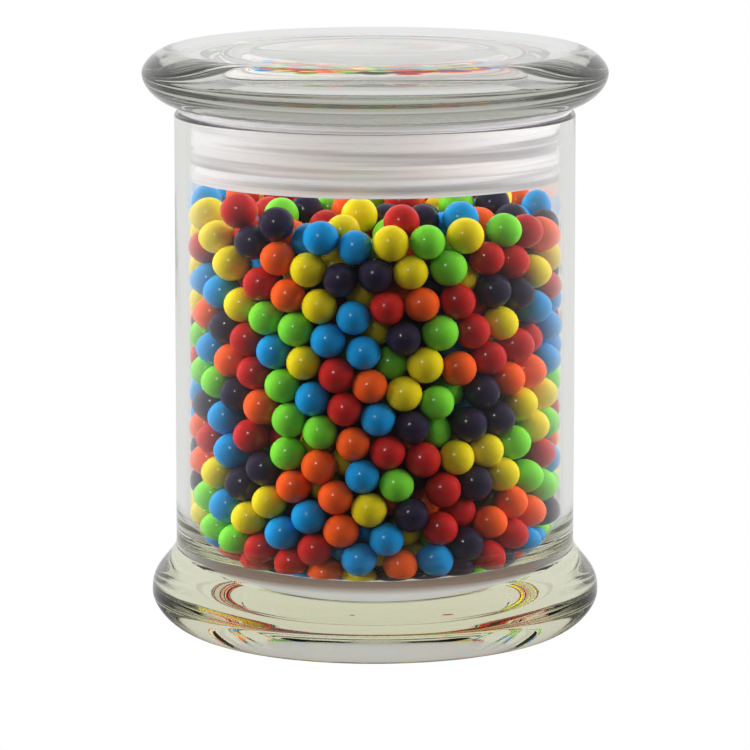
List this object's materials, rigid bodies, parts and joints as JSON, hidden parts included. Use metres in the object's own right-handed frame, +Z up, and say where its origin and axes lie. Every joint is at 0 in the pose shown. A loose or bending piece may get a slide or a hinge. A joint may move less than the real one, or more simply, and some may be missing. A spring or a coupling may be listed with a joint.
{
  "type": "jar of jawbreakers",
  "caption": "Round clear glass jar with a flared heavy foot and a thick flat lid on a ribbed seal, filled with small round hard candies in mixed colours.",
  "frame": {"origin": "centre of the circle that the foot stands on", "axes": "+Z up along the jar's axis of revolution; -Y is the side towards the viewer, +X the viewer's right"},
  "size_m": [0.105, 0.105, 0.1326],
  "materials": {
    "glass": "clear pressed glass, polished, with a faint grey-green cast where it is thick",
    "seal": "soft translucent white plastic, satin",
    "candy": "hard polished sugar shell, a mix of red, orange, yellow, green, blue and very dark purple"
  },
  "bodies": {
    "root": {"jar": "glass", "lid": "glass", "seal": "seal", "jawbreakers": "candy"}
  },
  "joints": []
}
